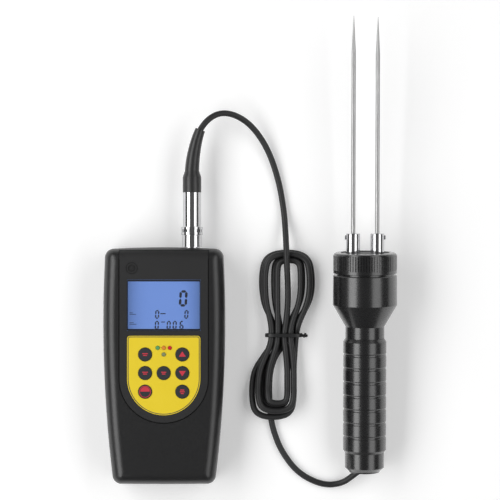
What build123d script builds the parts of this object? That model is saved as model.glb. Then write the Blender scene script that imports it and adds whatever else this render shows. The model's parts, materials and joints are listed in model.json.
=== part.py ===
"""Two-pin soil moisture meter: a handheld reader, a plug-in lead tied in a hank, and a pin probe.

Millimetres. The origin is the centre of the reader's back face, which lies on the table (z = 0).
+X runs from the reader to the probe, +Y towards the pin tips, +Z up out of the screen.
"""

import os
from math import cos, pi, radians, sin, sqrt, tan

from build123d import *

# Reader case: a tall box whose sides are one long arc, wider above the middle
case_half_width = 41.8
case_widest_y = 29.6
case_side_radius = 884.0
case_top_y = 81.3
case_top_corner_y = 79.9
case_bottom_y = -81.4
case_bottom_corner_y = -81.1
case_depth = 33.0
seam_z = 16.0
corner_radius = 6.2
front_roll_radius = 9.0
back_roll_radius = 5.0
wall = 2.4
back_wall = 3.0
ceiling_z = 29.6
shoulder_z = 26.0
shoulder_inset = 5.0
parting_chamfer = 0.3

# Front panel, screen and keypad
panel_half_width = 30.5
panel_centre_y = -8.5
panel_top_y = 79.0
panel_thickness = 1.8
panel_gap = 0.35
panel_edge = 0.45
screen_width = 49.1
screen_height = 32.4
screen_centre_y = 41.6
bezel_width = 50.2
bezel_height = 34.8
label_half_width = 25.0
label_top_y = 20.7
label_corner = 2.0
label_recess = 0.3
label_thickness = 0.45
key_pitch = 12.7
key_middle_y = -4.7
key_radius = 4.65
key_hole_radius = 4.85
key_flange_radius = 6.0
key_flange_z = 28.3
key_top_z = 33.9
led_radius = 1.4
led_hole_radius = 1.5
led_row_y = 12.5
led_pitch = 4.15
sensor_y = 8.0
port_x = -21.9
port_y = 66.9
port_radius = 3.75

# Circuit board hung from the front shell
board_z = 25.0
board_thickness = 1.6
board_half_width = 28.0
board_low_y = -18.0
board_high_y = 72.0
board_screw_places = [(-25.5, -14.0), (25.5, -14.0), (25.5, 68.0), (-8.0, 68.0)]
case_screw_places = [(-29.2, -70.0), (29.2, -70.0), (-33.0, 64.0), (33.0, 64.0)]

# Battery bay for four small round cells, closed by a sliding door in the back
bay_half_width = 22.2
bay_low_y = -73.6
bay_high_y = -23.5
bay_top_z = 14.2
bay_wall = 1.6
bay_centre_y = (bay_low_y + bay_high_y) / 2
cell_radius = 5.2
cell_pitch = 10.8
cell_z = 8.0
cell_length = 43.5
cell_nub = 1.1
door_half_width = 24.0
door_high_y = -20.0
door_low_z = 0.1
door_thickness = 1.6
door_gap = 0.15
rail_width = 1.2
rail_low_z = 0.9

# Round connector in the reader's top end, on the parting plane
connector_x = 18.9
connector_z = seam_z
socket_radius = 7.1
socket_end_y = 89.4
socket_bore = 5.6
barrel_radius = 6.28
barrel_low_y = 95.5
barrel_high_y = 119.0
ring_radius = 7.55
ring_low_y = 89.55
ring_high_y = 95.35
ring_slots = 18
boot_radius = 6.4
boot_shoulder_y = 129.6

# Lead: a 4.2 mm cable from the boot to the hank and on to the handle
lead_diameter = 4.2
lead_z = 2.15
hank_height = 12.8
tie_y = 20.1
tie_width = 2.8

# Probe: lies on the lower corner of its cup and the end of its grip, so its pins rise a little
probe_x = 137.9
cup_corner_station = 41.9
cup_corner_radius = 22.15
grip_end_station = -58.4
grip_radius = 14.85
pin_radius = 1.5
pin_spread = 8.25
pin_base_station = 80.2
pin_shank_radius = 1.0
pin_shoulder_station = 91.3
left_pin_tip = 239.8
right_pin_tip = 238.9
pin_taper = 25.5
stem_radius = 4.87
stem_low = 77.55
stem_high = 91.0
set_screw_station = 88.2
set_screw_radius = 1.45
cap_radius = 21.85
cap_low = 63.6
cap_high = 77.8
cap_teeth = 72
cap_tooth_depth = 0.4
spigot_radius = 19.3
plate_low = 73.1
neck_radius = 13.4
grip_groove_first = 7.7
grip_groove_pitch = 9.45
grip_grooves = 7
grip_groove_width = 2.2
grip_groove_depth = 0.35
tail_radius = 13.5
tail_end = -74.1

os.makedirs("parts", exist_ok=True)


def save(piece, name):
    """Label a finished piece and write it to its own file."""
    piece.part.label = name
    export_step(piece.part, f"parts/{name}.step")


def block(low, high, mode=Mode.ADD):
    """A box between two opposite corners."""
    size = Vector(*high) - Vector(*low)
    with Locations(Vector(*low) + size * 0.5):
        Box(size.X, size.Y, size.Z, mode=mode)


def post(x, y, low_z, high_z, radius, mode=Mode.ADD):
    """An upright round post."""
    with Locations((x, y, (low_z + high_z) / 2)):
        Cylinder(radius, high_z - low_z, mode=mode)


def half_width_at(y):
    """Half the case's width at a height on its side arc."""
    drop = case_side_radius - sqrt(case_side_radius**2 - (y - case_widest_y) ** 2)
    return case_half_width - drop


# ---------------------------------------------------------------- reader case

top_corner_x = half_width_at(case_top_corner_y)
bottom_corner_x = half_width_at(case_bottom_corner_y)
side_middle_x = half_width_at(10.0)

with BuildSketch() as case_plan:
    with BuildLine():
        ThreePointArc(
            (-top_corner_x, case_top_corner_y), (0, case_top_y), (top_corner_x, case_top_corner_y)
        )
        ThreePointArc(
            (top_corner_x, case_top_corner_y),
            (side_middle_x, 10.0),
            (bottom_corner_x, case_bottom_corner_y),
        )
        ThreePointArc(
            (bottom_corner_x, case_bottom_corner_y),
            (0, case_bottom_y),
            (-bottom_corner_x, case_bottom_corner_y),
        )
        ThreePointArc(
            (-bottom_corner_x, case_bottom_corner_y),
            (-side_middle_x, 10.0),
            (-top_corner_x, case_top_corner_y),
        )
    make_face()

# Outer shape of the front half, with its rolled front edge
with BuildPart() as front_block:
    with BuildSketch(Plane.XY.offset(seam_z)):
        add(case_plan.sketch)
    extrude(amount=case_depth - seam_z)
    fillet(front_block.edges().filter_by(Axis.Z), corner_radius)
    fillet(front_block.faces().sort_by(Axis.Z)[-1].outer_wire().edges(), front_roll_radius)
    chamfer(front_block.faces().sort_by(Axis.Z)[0].outer_wire().edges(), parting_chamfer)

# Outer shape of the back half
with BuildPart() as back_block:
    with BuildSketch():
        add(case_plan.sketch)
    extrude(amount=seam_z)
    fillet(back_block.edges().filter_by(Axis.Z), corner_radius)
    fillet(back_block.faces().sort_by(Axis.Z)[0].outer_wire().edges(), back_roll_radius)
    chamfer(back_block.faces().sort_by(Axis.Z)[-1].outer_wire().edges(), parting_chamfer)


def shield_plan(half_width, top_y):
    """A straight-sided panel with a half-round lower end, inside a sketch."""
    with Locations((0, (top_y + panel_centre_y) / 2)):
        Rectangle(2 * half_width, top_y - panel_centre_y)
    with Locations((0, panel_centre_y)):
        Circle(half_width)


key_places = {
    "key_left_top": (-key_pitch, key_middle_y + key_pitch),
    "key_right_top": (key_pitch, key_middle_y + key_pitch),
    "key_left_middle": (-key_pitch, key_middle_y),
    "key_centre": (0.0, key_middle_y),
    "key_right_middle": (key_pitch, key_middle_y),
    "key_left_bottom": (-key_pitch, key_middle_y - key_pitch),
    "key_right_bottom": (key_pitch, key_middle_y - key_pitch),
}
led_places = {
    "led_green": (-led_pitch, led_row_y),
    "led_amber": (0.0, led_row_y),
    "led_red": (led_pitch, led_row_y),
    "light_sensor": (0.0, sensor_y),
}


def face_holes(low_z, high_z):
    """Cut the key and indicator holes through a layer of the front."""
    for x, y in key_places.values():
        post(x, y, low_z, high_z, key_hole_radius, Mode.SUBTRACT)
    for x, y in led_places.values():
        post(x, y, low_z, high_z, led_hole_radius, Mode.SUBTRACT)


def screen_hole(low_z, high_z):
    """Cut the screen window and the sounder port through a layer of the front."""
    with Locations((0, screen_centre_y, (low_z + high_z) / 2)):
        Box(bezel_width, bezel_height, high_z - low_z, mode=Mode.SUBTRACT)
    post(port_x, port_y, low_z, high_z, port_radius + 0.1, Mode.SUBTRACT)


# The room for the front panel, which dips over the rolled top edge
with BuildPart() as panel_room:
    add(front_block.part)
    with BuildSketch(Plane.XY.offset(seam_z)):
        shield_plan(panel_half_width + panel_gap, panel_top_y + panel_gap)
    extrude(amount=2 * case_depth, mode=Mode.INTERSECT)
    add(front_block.part.moved(Location((0, 0, -panel_thickness))), mode=Mode.SUBTRACT)

connector_axis = Axis((connector_x, 0, connector_z), (0, 1, 0))
connector_side = Plane(origin=(connector_x, 0, connector_z), x_dir=(1, 0, 0), z_dir=(0, 0, 1))


def connector_face(y):
    """Plane square to the connector's axis."""
    return Plane(origin=(connector_x, y, connector_z), x_dir=(1, 0, 0), z_dir=(0, 1, 0))


with BuildPart() as front_shell:
    add(front_block.part)
    with BuildSketch(Plane.XY.offset(seam_z)):
        add(case_plan.sketch)
        offset(amount=-wall)
    extrude(amount=shoulder_z - seam_z, mode=Mode.SUBTRACT)
    with BuildSketch(Plane.XY.offset(shoulder_z)):
        add(case_plan.sketch)
        offset(amount=-shoulder_inset)
    extrude(amount=ceiling_z - shoulder_z, mode=Mode.SUBTRACT)
    for x, y in case_screw_places:
        post(x, y, seam_z + 0.05, ceiling_z + 0.5, 3.6)
        post(x, y, seam_z, 27.0, 1.3, Mode.SUBTRACT)
    for x, y in board_screw_places:
        post(x, y, board_z + board_thickness + 0.05, ceiling_z + 0.5, 2.4)
        post(x, y, board_z + board_thickness, ceiling_z, 0.85, Mode.SUBTRACT)
    add(panel_room.part, mode=Mode.SUBTRACT)
    face_holes(ceiling_z - 1, case_depth)
    screen_hole(ceiling_z - 1, case_depth)
    with BuildSketch(connector_face(case_top_y - 6)):
        Circle(5.6)
    extrude(amount=12, mode=Mode.SUBTRACT)
save(front_shell, "front_shell")

with BuildPart() as rear_shell:
    add(back_block.part)
    with BuildSketch(Plane.XY.offset(back_wall)):
        add(case_plan.sketch)
        offset(amount=-wall)
    extrude(amount=seam_z, mode=Mode.SUBTRACT)
    for x, y in case_screw_places:
        post(x, y, back_wall - 0.5, seam_z - 0.05, 4.0)
        post(x, y, -1, 5.0, 3.0, Mode.SUBTRACT)
        post(x, y, 0, seam_z, 1.5, Mode.SUBTRACT)
    block(
        (-bay_half_width - bay_wall, bay_low_y - bay_wall, back_wall - 0.5),
        (bay_half_width + bay_wall, bay_high_y + bay_wall, bay_top_z + bay_wall),
    )
    block(
        (-bay_half_width, bay_low_y, -1), (bay_half_width, bay_high_y, bay_top_z), Mode.SUBTRACT
    )
    # Room for the door, its two rails and its front tongue
    door_room_z = door_low_z + door_thickness + 0.1
    block(
        (-door_half_width - door_gap, case_bottom_y - 5, -1),
        (door_half_width + door_gap, door_high_y + door_gap, door_room_z),
        Mode.SUBTRACT,
    )
    block(
        (-door_half_width - rail_width - door_gap, case_bottom_y - 5, rail_low_z - 0.1),
        (door_half_width + rail_width + door_gap, door_high_y - 1.5, door_room_z),
        Mode.SUBTRACT,
    )
    block((-10.2, door_high_y - 1, rail_low_z - 0.1), (10.2, door_high_y + 1.7, door_room_z), Mode.SUBTRACT)
    with BuildSketch(connector_face(case_top_y - 6)):
        Circle(5.6)
    extrude(amount=12, mode=Mode.SUBTRACT)
save(rear_shell, "rear_shell")

with BuildPart() as battery_door:
    add(back_block.part)
    with BuildSketch(Plane.XY.offset(door_low_z)):
        with Locations((0, (door_high_y + case_bottom_y - 5) / 2)):
            Rectangle(2 * door_half_width, door_high_y - case_bottom_y + 5)
    extrude(amount=door_thickness, mode=Mode.INTERSECT)
    rail_high_z = door_low_z + door_thickness
    for side in (-1, 1):
        near_x, far_x = sorted((side * (door_half_width - 0.5), side * (door_half_width + rail_width)))
        block((near_x, case_bottom_y + 3, rail_low_z), (far_x, door_high_y - 2, rail_high_z))
    block((-10, door_high_y - 0.5, rail_low_z), (10, door_high_y + 1.5, rail_high_z))
    # Thumb ridges: five shallow grooves across the door
    for step in range(5):
        groove_y = -34.0 + 2.2 * step
        block((-9, groove_y, door_low_z - 0.1), (9, groove_y + 1.0, door_low_z + 0.4), Mode.SUBTRACT)
save(battery_door, "battery_door")

with BuildPart() as case_screws:
    for x, y in case_screw_places:
        post(x, y, 3.2, 5.0, 2.7)
        post(x, y, 5.0, 25.0, 1.2)
        for turn in (0, 90):
            with Locations(Location((x, y, 3.6), (0, 0, turn))):
                Box(3.2, 0.7, 0.9, mode=Mode.SUBTRACT)
save(case_screws, "case_screws")

# ---------------------------------------------------------------- front panel, screen and keypad

# The panel's own outline, with a bevel along its flat part
with BuildPart() as panel_prism:
    with BuildSketch(Plane.XY.offset(seam_z)):
        shield_plan(panel_half_width, panel_top_y)
    extrude(amount=case_depth - panel_edge - seam_z)
    with BuildSketch(Plane.XY.offset(case_depth - panel_edge)):
        shield_plan(panel_half_width, panel_top_y)
    extrude(amount=panel_edge + 0.05, taper=45)

with BuildPart() as front_panel:
    add(front_block.part)
    add(panel_prism.part, mode=Mode.INTERSECT)
    add(front_block.part.moved(Location((0, 0, 0.1 - panel_thickness))), mode=Mode.SUBTRACT)
    with BuildSketch(Plane.XY.offset(case_depth - label_recess)):
        shield_plan(label_half_width + 0.1, label_top_y + 0.1)
    extrude(amount=2, mode=Mode.SUBTRACT)
    face_holes(ceiling_z, case_depth + 1)
    screen_hole(ceiling_z, case_depth + 1)
save(front_panel, "front_panel")

with BuildPart() as keypad_overlay:
    with BuildSketch(Plane.XY.offset(case_depth - label_recess)) as label_sketch:
        shield_plan(label_half_width, label_top_y)
        fillet(label_sketch.vertices().group_by(Axis.Y)[-1], label_corner)
    extrude(amount=label_thickness)
    face_holes(ceiling_z, case_depth + 1)
save(keypad_overlay, "keypad_overlay")

for key_name, (x, y) in key_places.items():
    with BuildPart() as key:
        post(x, y, key_flange_z, key_flange_z + 1.0, key_flange_radius)
        post(x, y, key_flange_z, key_top_z, key_radius)
        fillet(key.faces().sort_by(Axis.Z)[-1].outer_wire().edges(), 0.5)
    save(key, key_name)

for led_name, (x, y) in led_places.items():
    with BuildPart() as led:
        post(x, y, board_z + board_thickness, board_z + board_thickness + 1.2, 1.8)
        post(x, y, board_z + board_thickness, case_depth + 0.1, led_radius)
        with Locations((x, y, case_depth + 0.1)):
            Sphere(led_radius)
        block((x - 2, y - 2, case_depth + 0.9), (x + 2, y + 2, case_depth + 3), Mode.SUBTRACT)
    save(led, led_name)

with BuildPart() as key_domes:
    for x, y in key_places.values():
        with Locations((x, y, board_z + board_thickness)):
            Cone(4.2, 2.6, 1.6, align=(Align.CENTER, Align.CENTER, Align.MIN))
save(key_domes, "key_domes")

with BuildPart() as lcd_bezel:
    with BuildSketch(Plane.XY.offset(31.3)):
        with Locations((0, screen_centre_y)):
            RectangleRounded(bezel_width - 0.2, bezel_height - 0.2, 0.6)
            RectangleRounded(screen_width, screen_height, 0.5, mode=Mode.SUBTRACT)
    extrude(amount=1.3)
save(lcd_bezel, "lcd_bezel")

with BuildPart() as lcd_window:
    with BuildSketch(Plane.XY.offset(31.4)):
        with Locations((0, screen_centre_y)):
            RectangleRounded(screen_width - 0.1, screen_height - 0.1, 0.45)
    extrude(amount=0.8)
save(lcd_window, "lcd_window")

with BuildPart() as lcd_module:
    block((-27.5, screen_centre_y - 19.5, 26.8), (27.5, screen_centre_y + 19.5, 29.5))
    block((-24.8, screen_centre_y - 17.1, 29.5), (24.8, screen_centre_y + 17.1, 31.2))
save(lcd_module, "lcd_module")

with BuildPart() as sounder_plug:
    post(port_x, port_y, 30.2, case_depth + 0.25, port_radius)
    fillet(sounder_plug.faces().sort_by(Axis.Z)[-1].outer_wire().edges(), 0.2)
    with BuildSketch(Plane.XY.offset(case_depth - 0.15)):
        with Locations((port_x, port_y)):
            Circle(2.6)
            Circle(2.25, mode=Mode.SUBTRACT)
            Circle(1.3)
            Circle(0.95, mode=Mode.SUBTRACT)
    extrude(amount=1, mode=Mode.SUBTRACT)
save(sounder_plug, "sounder_plug")

# ---------------------------------------------------------------- circuit board

with BuildPart() as main_board:
    block(
        (-board_half_width, board_low_y, board_z),
        (board_half_width, board_high_y, board_z + board_thickness),
    )
    for x, y in board_screw_places:
        post(x, y, board_z - 1, board_z + 3, 1.0, Mode.SUBTRACT)
    post(port_x, port_y, board_z - 1, board_z + 3, 2.0, Mode.SUBTRACT)
save(main_board, "main_board")

with BuildPart() as board_screws:
    for x, y in board_screw_places:
        post(x, y, board_z - 1.2, board_z, 1.9)
        post(x, y, board_z, 29.2, 0.75)
save(board_screws, "board_screws")

component_boxes = [
    ((-6, 24), 12, 12, 1.6),
    ((12, 30), 7, 5, 1.4),
    ((-18, 36), 5, 4, 1.2),
    ((14, 12), 8, 6, 2.2),
    ((-14, 6), 10, 4, 3.4),
    ((18.9, 56), 10, 4, 5.0),
    ((-18, -6), 8, 4, 5.0),
]
with BuildPart() as board_components:
    for (x, y), length, width, height in component_boxes:
        with Locations((x, y, board_z - height / 2 - 0.02)):
            Box(length, width, height)
    for x in (-2.0, 6.0):
        post(x, 44, board_z - 7.0, board_z - 0.02, 2.5)
save(board_components, "board_components")

with BuildPart() as buzzer:
    post(port_x, port_y, 19.5, board_z - 0.02, 6.0)
    post(port_x, port_y, board_z - 0.5, board_z + 2, 1.0, Mode.SUBTRACT)
save(buzzer, "buzzer")

# Thin wires: two from the socket and two from the battery bay to the board's headers
wire_routes = []
for side in (-1, 1):
    x = connector_x + 1.3 * side
    wire_routes.append([(x, 73.8, connector_z), (x, 61.0, connector_z), (x, 57.5, board_z - 5.7)])
    x = -18.0 + 1.3 * side
    wire_routes.append([(x, bay_high_y + bay_wall + 0.1, 12.0), (x, -9.0, 12.0), (x, -6.5, board_z - 5.7)])
with BuildPart() as inner_wires:
    for route in wire_routes:
        with BuildLine() as wire_line:
            FilletPolyline(*route, radius=3.0)
        with BuildSketch(Plane(origin=wire_line.line @ 0, z_dir=wire_line.line % 0)):
            Circle(0.55)
        sweep(path=wire_line.line)
save(inner_wires, "inner_wires")

# ---------------------------------------------------------------- batteries

cell_columns = [(index - 1.5) * cell_pitch for index in range(4)]


def along_bay(x, start, end, radius, mode=Mode.ADD):
    """A round bar along Y inside the bay, measured from the bay's centre."""
    with Locations((x, bay_centre_y + (start + end) / 2, cell_z)):
        Cylinder(radius, abs(end - start), rotation=(90, 0, 0), mode=mode)


with BuildPart() as battery_cells:
    for index, x in enumerate(cell_columns):
        up = 1 if index % 2 == 0 else -1
        along_bay(x, -20.2 * up, (cell_length - 20.2) * up, cell_radius)
        along_bay(x, (cell_length - 20.4) * up, (cell_length - 20.2 + cell_nub) * up, 1.9)
save(battery_cells, "battery_cells")

with BuildPart() as battery_springs:
    for index, x in enumerate(cell_columns):
        up = 1 if index % 2 == 0 else -1
        spring_low_y = bay_centre_y - 24.2 * up if up > 0 else bay_centre_y + 20.7
        with BuildLine() as coil:
            Helix(1.2, 3.5, 2.8, center=(x, spring_low_y, cell_z), direction=(0, 1, 0))
        with BuildSketch(Plane(origin=coil.line @ 0, z_dir=coil.line % 0)):
            Circle(0.28)
        sweep(path=coil.line, is_frenet=True)
save(battery_springs, "battery_springs")

with BuildPart() as battery_contacts:
    for end in (-1, 1):
        plate_y = bay_centre_y + end * 24.8
        for x in (-10.8, 10.8) if end > 0 else (-16.4, 0.0, 16.4):
            plate_width = 20.0 if x == 0 or end > 0 else 10.0
            block(
                (x - plate_width / 2, plate_y - 0.2, cell_z - 4.5),
                (x + plate_width / 2, plate_y + 0.2, cell_z + 4.5),
            )
save(battery_contacts, "battery_contacts")

# ---------------------------------------------------------------- connector

with BuildPart() as socket_shell:
    with BuildSketch(connector_side):
        Polygon(
            (4.6, 74.0), (5.4, 74.0), (5.4, 81.35), (7.1, 81.35), (6.95, socket_end_y),
            (socket_bore, socket_end_y), (socket_bore, 84.3), (4.6, 84.3), align=None,
        )
    revolve(axis=connector_axis)
save(socket_shell, "socket_shell")

contact_ring = 2.6
with BuildPart() as socket_insert:
    with BuildSketch(connector_face(74.5)):
        Circle(4.55)
    extrude(amount=9.8)
    with BuildSketch(connector_face(84.3)):
        with PolarLocations(contact_ring, 5):
            Circle(0.45)
    extrude(amount=3.9)
save(socket_insert, "socket_insert")

with BuildPart() as socket_nut:
    with BuildSketch(connector_face(75.3)):
        RegularPolygon(radius=7.0, side_count=6, major_radius=False)
        Circle(5.45, mode=Mode.SUBTRACT)
    extrude(amount=2.8)
save(socket_nut, "socket_nut")

with BuildPart() as plug_barrel:
    with BuildSketch(connector_side):
        Polygon(
            (4.5, 84.6), (5.3, 84.6), (5.3, 90.2), (5.95, 90.2), (5.95, barrel_low_y),
            (barrel_radius, barrel_low_y), (barrel_radius, barrel_high_y), (5.2, barrel_high_y),
            (5.2, 128.0), (4.5, 128.0), align=None,
        )
    revolve(axis=connector_axis)
save(plug_barrel, "plug_barrel")

with BuildPart() as plug_insert:
    with BuildSketch(connector_face(84.9)):
        Circle(4.45)
    extrude(amount=12)
    with BuildSketch(connector_face(84.0)):
        with PolarLocations(contact_ring, 5):
            Circle(0.65)
    extrude(amount=6, mode=Mode.SUBTRACT)
save(plug_insert, "plug_insert")

with BuildPart() as coupling_ring:
    with BuildSketch(connector_side):
        Polygon(
            (6.05, ring_low_y), (ring_radius - 0.2, ring_low_y), (ring_radius, ring_low_y + 0.25),
            (ring_radius, 91.5), (7.2, 91.65), (7.2, 93.35), (ring_radius, 93.5),
            (ring_radius, ring_high_y - 0.25), (ring_radius - 0.2, ring_high_y),
            (6.05, ring_high_y), align=None,
        )
    revolve(axis=connector_axis)
    with BuildSketch(connector_face(91.6)):
        with PolarLocations(7.2, ring_slots):
            Rectangle(1.3, 1.2)
    extrude(amount=1.8, mode=Mode.SUBTRACT)
save(coupling_ring, "coupling_ring")

# Boot: a sleeve over the barrel's tail, then a taper that leans over with the lead
boot_stations = [
    ((18.9, 133.8, 16.0), 0.0, 4.95),
    ((19.5, 141.4, 16.0), 6.5, 4.7),
    ((20.6, 148.3, 15.9), 11.5, 4.35),
    ((22.2, 155.2, 15.7), 17.0, 3.95),
    ((24.6, 162.3, 15.4), 22.0, 3.5),
]
boot_exit = Vector(*boot_stations[-1][0])
with BuildPart() as boot:
    with BuildSketch(connector_side):
        Polygon(
            (0, 128.3), (5.3, 128.3), (5.3, barrel_high_y + 0.05), (boot_radius, barrel_high_y + 0.05),
            (boot_radius, boot_shoulder_y), (4.95, 133.8), (0, 133.8), align=None,
        )
    revolve(axis=connector_axis)
    for place, lean, radius in boot_stations:
        heading = Vector(sin(radians(lean)), cos(radians(lean)), 0)
        with BuildSketch(Plane(origin=place, x_dir=heading.cross(Vector(0, 0, 1)), z_dir=heading)):
            Circle(radius)
    loft()
save(boot, "boot")

# ---------------------------------------------------------------- lead

upper_route = [
    (24.6, 162.3, 15.4),
    (28.9, 169.8, 15.0),
    (41.6, 175.4, 12.8),
    (57.6, 168.6, 8.6),
    (70.6, 151.6, 4.6),
    (78.9, 128.2, 2.3),
    (82.6, 106.0, 2.2),
    (83.5, 91.0, 4.6),
    (83.9, 79.6, 8.0),
]
lower_route = [
    (73.4, -37.6, lead_z),
    (75.2, -46.4, lead_z),
    (80.6, -60.6, lead_z),
    (92.4, -76.2, lead_z),
    (109.4, -84.4, lead_z),
    (122.6, -83.2, 3.2),
    (130.8, -76.9, 7.4),
    (137.2, -71.4, 10.6),
]


def corner_radii(route):
    """The radius of each corner: 0.45 of its shorter run over the tangent of half its turn."""
    points = [Vector(*point) for point in route]
    runs = [after - before for before, after in zip(points, points[1:])]
    radii = []
    for before, after in zip(runs, runs[1:]):
        turn = before.get_angle(after)
        radii.append(0.45 * min(before.length, after.length) / tan(radians(turn / 2)))
    return radii


for lead_name, route in (("lead_upper", upper_route), ("lead_lower", lower_route)):
    radii = corner_radii(route)
    with BuildPart() as lead:
        with BuildLine() as lead_line:
            FilletPolyline(*route, radius=radii)
        with BuildSketch(Plane(origin=lead_line.line @ 0, z_dir=lead_line.line % 0)):
            Circle(lead_diameter / 2)
        sweep(path=lead_line.line)
    save(lead, lead_name)
    lead_length = sum(edge.length for edge in lead_line.edges())
    section = pi * lead_diameter**2 / 4
    print(lead_name, "length", round(lead_length, 1), "radii", [round(radius, 1) for radius in radii])
    print(lead_name, "volume over section times length", lead.part.volume / section / lead_length)

# Hank: the outer shape of four tied turns, wide above and below the tie
hank_outline = [
    (85.0, 81.0), (101.0, 79.0), (105.6, 62.0), (101.5, 44.0), (93.4, 26.0), (93.2, 8.0), (92.0, -12.0),
    (88.5, -28.0), (76.0, -39.6), (62.0, -37.0), (57.2, -22.0), (60.0, -4.0), (70.8, 22.0), (66.0, 42.0),
    (64.4, 62.0), (70.0, 78.5),
]
with BuildPart() as lead_hank:
    with BuildSketch():
        with BuildLine():
            FilletPolyline(*hank_outline, radius=5.0, close=True)
        make_face()
    extrude(amount=hank_height)
    fillet(lead_hank.faces().sort_by(Axis.Z)[-1].outer_wire().edges(), 2.0)
    block((60, tie_y - tie_width / 2 - 0.1, -1), (110, tie_y + tie_width / 2 + 0.1, 0.9), Mode.SUBTRACT)
save(lead_hank, "lead_hank")

with BuildPart() as twist_tie:
    block((68.0, tie_y - tie_width / 2, 0.0), (95.8, tie_y + tie_width / 2, 14.0))
    block((69.2, tie_y - 5, 0.7), (94.6, tie_y + 5, 13.0), Mode.SUBTRACT)
    block((95.6, tie_y - 2.4, 4.0), (100.4, tie_y + 1.6, 7.0))
save(twist_tie, "twist_tie")

# ---------------------------------------------------------------- probe

# The probe's axis leans so that the cup's corner and the grip's end both touch the table
lean_sine = (cup_corner_radius - grip_radius) / (cup_corner_station - grip_end_station)
lean_cosine = sqrt(1 - lean_sine**2)
for _ in range(20):
    lean_sine = (cup_corner_radius - grip_radius) * lean_cosine / (cup_corner_station - grip_end_station)
    lean_cosine = sqrt(1 - lean_sine**2)
probe_z = cup_corner_radius * lean_cosine - cup_corner_station * lean_sine
probe_direction = Vector(0, lean_cosine, lean_sine)
probe_origin = Vector(probe_x, 0, probe_z)
probe_axis = Axis(probe_origin, probe_direction)
probe_side = Plane(origin=probe_origin, x_dir=(1, 0, 0), z_dir=(0, -lean_sine, lean_cosine))
print("probe lean", lean_sine, "origin height", probe_z)


def probe_face(station, x=0.0):
    """Plane square to the probe's axis at a station, with its origin moved sideways by x."""
    origin = probe_origin + probe_direction * station + Vector(x, 0, 0)
    return Plane(origin=origin, x_dir=(1, 0, 0), z_dir=probe_direction)


with BuildPart() as head_body:
    with BuildSketch(probe_side):
        Polygon(
            (4.0, 44.0), (16.5, 49.0), (16.5, 73.0), (spigot_radius, 73.0), (spigot_radius, 62.3),
            (21.6, 62.3), (21.95, 61.9), (cup_corner_radius, cup_corner_station), (neck_radius, 26.9),
            (neck_radius, 18.9), (11.0, 18.9), (11.0, -58.6), (9.0, -58.6), (9.0, -66.0), (4.0, -66.0),
            align=None,
        )
    revolve(axis=probe_axis)
save(head_body, "head_body")

with BuildPart() as cap_ring:
    with BuildSketch(probe_face(cap_low)):
        Circle(cap_radius)
        with PolarLocations(cap_radius + 0.1, cap_teeth):
            RegularPolygon(radius=cap_tooth_depth + 0.1, side_count=4, mode=Mode.SUBTRACT)
    extrude(amount=cap_high - cap_low)
    with BuildSketch(probe_face(cap_low)):
        Circle(cap_radius)
    extrude(amount=2.2)
    with BuildSketch(probe_side) as cap_section:
        Polygon(
            (spigot_radius + 0.1, cap_low), (cap_radius - 0.2, cap_low), (cap_radius, cap_low + 0.2),
            (cap_radius, cap_high - 2.0), (cap_radius - 0.6, cap_high - 0.6), (cap_radius - 2.0, cap_high),
            (16.8, cap_high), (16.8, 76.65), (spigot_radius + 0.1, 76.65), align=None,
        )
    revolve(axis=probe_axis, mode=Mode.INTERSECT)
save(cap_ring, "cap_ring")

with BuildPart() as electrode_plate:
    with BuildSketch(probe_side):
        Polygon(
            (0, plate_low), (spigot_radius - 0.1, plate_low), (spigot_radius - 0.1, 76.5), (16.6, 76.5),
            (16.6, 77.3), (0, 77.3), align=None,
        )
    revolve(axis=probe_axis)
    for side in (-1, 1):
        with BuildSketch(probe_face(plate_low - 1, side * pin_spread)):
            Circle(2.55)
        extrude(amount=8, mode=Mode.SUBTRACT)
save(electrode_plate, "electrode_plate")

for side_name, side, tip in (("left", -1, left_pin_tip), ("right", 1, right_pin_tip)):
    pin_x = side * pin_spread
    pin_side = Plane(
        origin=probe_origin + Vector(pin_x, 0, 0), x_dir=(1, 0, 0), z_dir=(0, -lean_sine, lean_cosine)
    )
    pin_axis = Axis(probe_origin + Vector(pin_x, 0, 0), probe_direction)
    screw_plane = Plane(
        origin=probe_origin + probe_direction * set_screw_station + Vector(pin_x, 0, 0),
        x_dir=probe_direction,
        z_dir=(side, 0, 0),
    )

    # Chromed stem: holds the pin and carries the current down through the plate
    with BuildPart() as stem:
        with BuildSketch(pin_side):
            Polygon(
                (0, 65.5), (2.5, 65.5), (2.5, stem_low - 0.2), (stem_radius, stem_low - 0.2),
                (stem_radius, stem_high - 0.3), (stem_radius - 0.3, stem_high),
                (pin_shank_radius + 0.05, stem_high), (pin_shank_radius + 0.05, pin_base_station - 0.1),
                (0, pin_base_station - 0.1), align=None,
            )
        revolve(axis=pin_axis)
        with BuildSketch(screw_plane):
            Circle(set_screw_radius + 0.05)
        extrude(amount=8, mode=Mode.SUBTRACT)
    save(stem, f"{side_name}_stem")

    with BuildPart() as pin:
        with BuildSketch(pin_side):
            Polygon(
                (0, pin_base_station), (pin_shank_radius, pin_base_station),
                (pin_shank_radius, pin_shoulder_station), (pin_radius, pin_shoulder_station),
                (pin_radius, tip - pin_taper), (0.18, tip - 0.3), (0, tip), align=None,
            )
        revolve(axis=pin_axis)
    save(pin, f"{side_name}_pin")

    with BuildPart() as set_screw:
        with BuildSketch(screw_plane.offset(pin_shank_radius + 0.1)):
            Circle(set_screw_radius)
        extrude(amount=stem_radius + 0.75 - pin_shank_radius - 0.1)
        with BuildSketch(screw_plane.offset(stem_radius - 0.5)):
            RegularPolygon(radius=0.75, side_count=6)
        extrude(amount=3, mode=Mode.SUBTRACT)
    save(set_screw, f"{side_name}_set_screw")

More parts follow.
